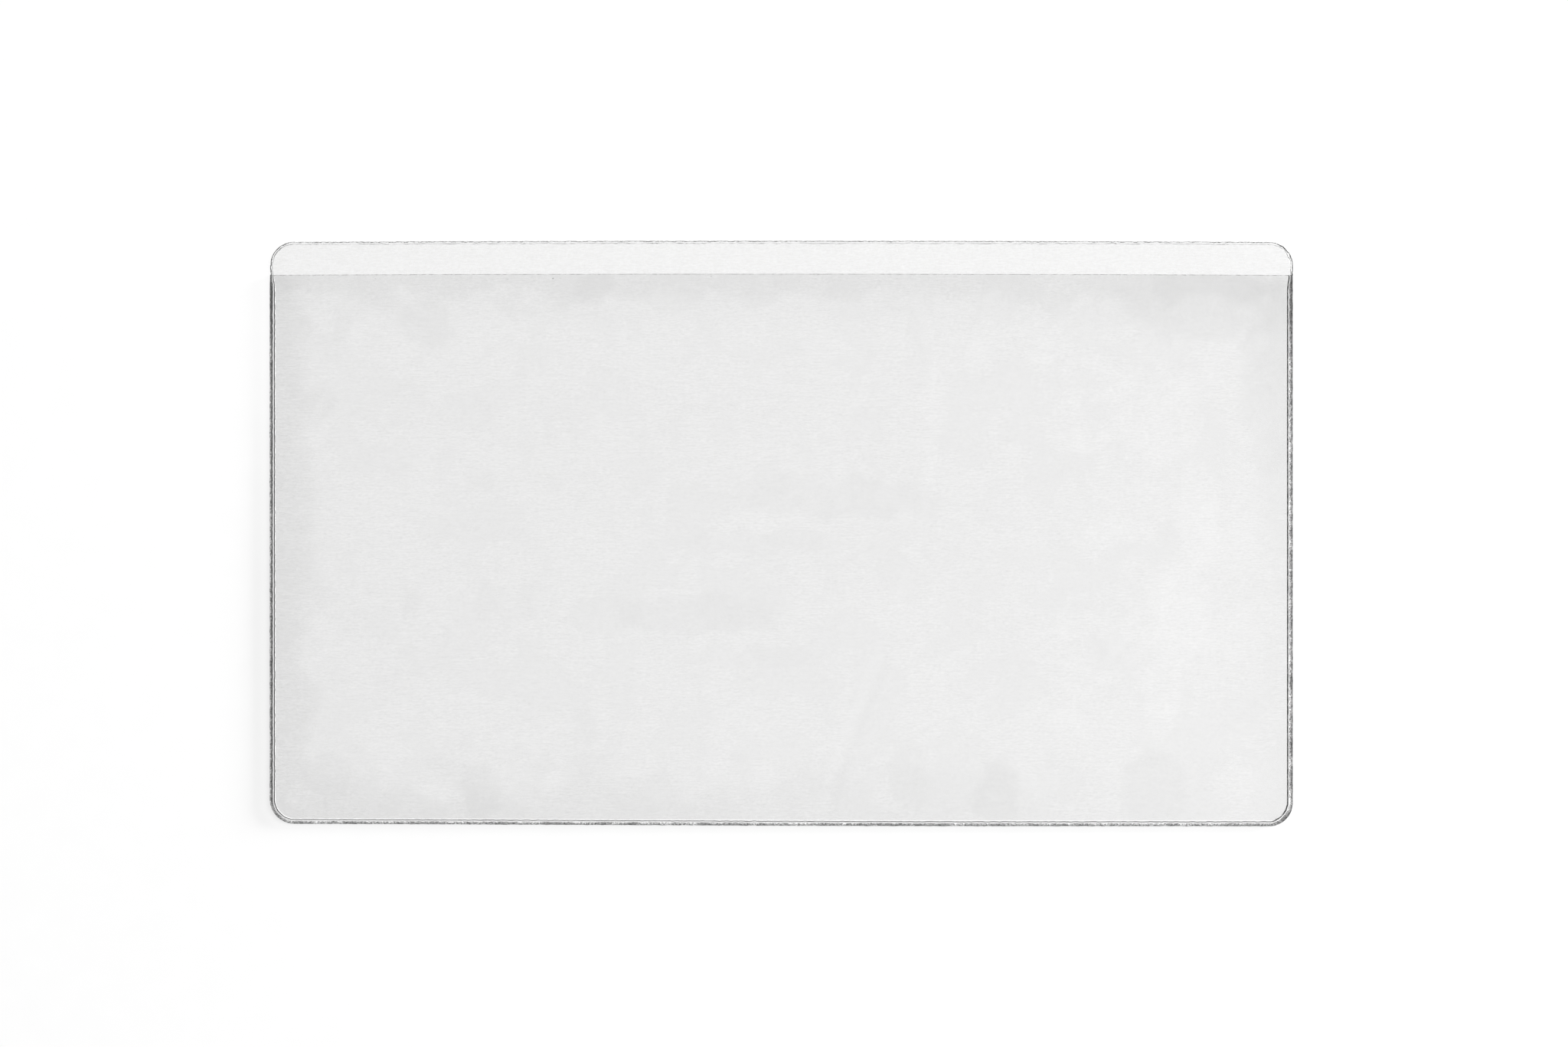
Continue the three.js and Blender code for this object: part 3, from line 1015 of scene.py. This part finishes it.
def liner_half(side, material):
    """Release paper from the pocket's outer edge to the wavy slit."""
    v = -TOP_Y + graded(2 * TOP_Y, 0.1 * MM, 1 * MM, 2.4 * MM, HOLD)
    t = graded(1.0, 0.004, 0.03, 0.04, HOLD / SIDE_X)
    outer = side * (outer_half_width(v) - LINER_INSET)
    cut = slit_x(v) + side * 0.5 * SLIT_OPEN
    xs = outer[:, None] + (cut - outer)[:, None] * t[None, :]
    ys = np.repeat(v[:, None], len(t), 1)
    gap = xs - slit_x(ys)
    bottoms = np.zeros(xs.shape)
    tops = np.full(xs.shape, LINER_TOP)
    name = "liner_left_paper" if side < 0 else "liner_right_paper"
    node = "release_liner_left" if side < 0 else "release_liner_right"
    piece = closed_sheet(name, xs, ys, bottoms, tops, material, {"slit_gap": gap / MM})
    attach(piece, "liner_left" if side < 0 else "liner_right")
    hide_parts(node)


def build_pocket():
    liner = liner_material()
    for side in (-1, 1):
        liner_half(side, liner)
    adhesive_coat(adhesive_material())
    back_film_sheet(back_film_material())
    rim = swept("mouth_rim_line", mouth_path(), rim_profile, rim_line_material())
    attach(rim, "pocket")
    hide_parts("back_film")
    let_light_through(rim)
    weld = swept("weld_bead", weld_path(), weld_profile, weld_material())
    weld.visible_diffuse = False
    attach(weld, "pocket")
    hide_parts("weld_seam")
    film = front_film_material()
    for side in (-1, 1):
        front_film_half(side, film)


# Camera, light and floor

CLEAR_LAYERS = 24
FLOOR_SIZE = 6.0
WORLD_LIGHT = 0.7
KEY_PLACE = (0.75, 0.45, 1.2)
KEY_SIZE = 0.7
KEY_POWER = 2.7
LOW_PLACE = (1.25, 0.48, 0.28)
LOW_SIZE = 0.4
LOW_POWER = 21


def add_camera():
    data = bpy.data.cameras.new("camera")
    camera = bpy.data.objects.new("camera", data)
    bpy.context.scene.collection.objects.link(camera)
    middle_x = (PHOTO_WIDTH / 2 - POCKET_PIXEL_X) / PIXELS_PER_METRE
    middle_y = (POCKET_PIXEL_Y - PHOTO_HEIGHT / 2) / PIXELS_PER_METRE
    camera.location = (middle_x, middle_y, CAMERA_HEIGHT)
    data.sensor_width = SENSOR_WIDTH
    view_width = PHOTO_WIDTH / PIXELS_PER_METRE
    data.lens = SENSOR_WIDTH * (CAMERA_HEIGHT - FRONT_TOP) / view_width
    data.clip_start = 0.01
    data.clip_end = 20
    bpy.context.scene.camera = camera


def add_lamp(name, place, size, power):
    data = bpy.data.lights.new(name, "AREA")
    data.shape = "DISK"
    data.size = size
    data.energy = power
    lamp = bpy.data.objects.new(name, data)
    lamp.location = place
    lamp.rotation_euler = (-Vector(place)).to_track_quat("-Z", "Y").to_euler()
    bpy.context.scene.collection.objects.link(lamp)


def add_world():
    """Even light all round. Seen by the camera or in a gloss, it is white."""
    world = bpy.data.worlds.new("studio")
    bpy.context.scene.world = world
    world.use_nodes = True
    nodes, links = world.node_tree.nodes, world.node_tree.links
    background = nodes["Background"]
    background.inputs["Color"].default_value = (1, 1, 1, 1)
    path = nodes.new("ShaderNodeLightPath")
    seen = nodes.new("ShaderNodeMath")
    seen.operation = "MAXIMUM"
    links.new(path.outputs["Is Camera Ray"], seen.inputs[0])
    links.new(path.outputs["Is Glossy Ray"], seen.inputs[1])
    strength = nodes.new("ShaderNodeMapRange")
    links.new(seen.outputs[0], strength.inputs["Value"])
    strength.inputs["To Min"].default_value = WORLD_LIGHT
    strength.inputs["To Max"].default_value = 1.0
    links.new(strength.outputs[0], background.inputs["Strength"])


def add_floor():
    half = FLOOR_SIZE / 2
    below = -HAIR * 2
    corners = ((-half, -half), (half, -half), (half, half), (-half, half))
    points = [(x, y, below) for x, y in corners]
    floor = make_piece("white_surface", points, [(0, 1, 2, 3)], floor_material())


add_camera()
add_world()
add_floor()
add_lamp("key", KEY_PLACE, KEY_SIZE, KEY_POWER)
add_lamp("low_side", LOW_PLACE, LOW_SIZE, LOW_POWER)
build_pocket()

bpy.context.scene.view_settings.view_transform = "Standard"
bpy.context.scene.cycles.transparent_max_bounces = CLEAR_LAYERS
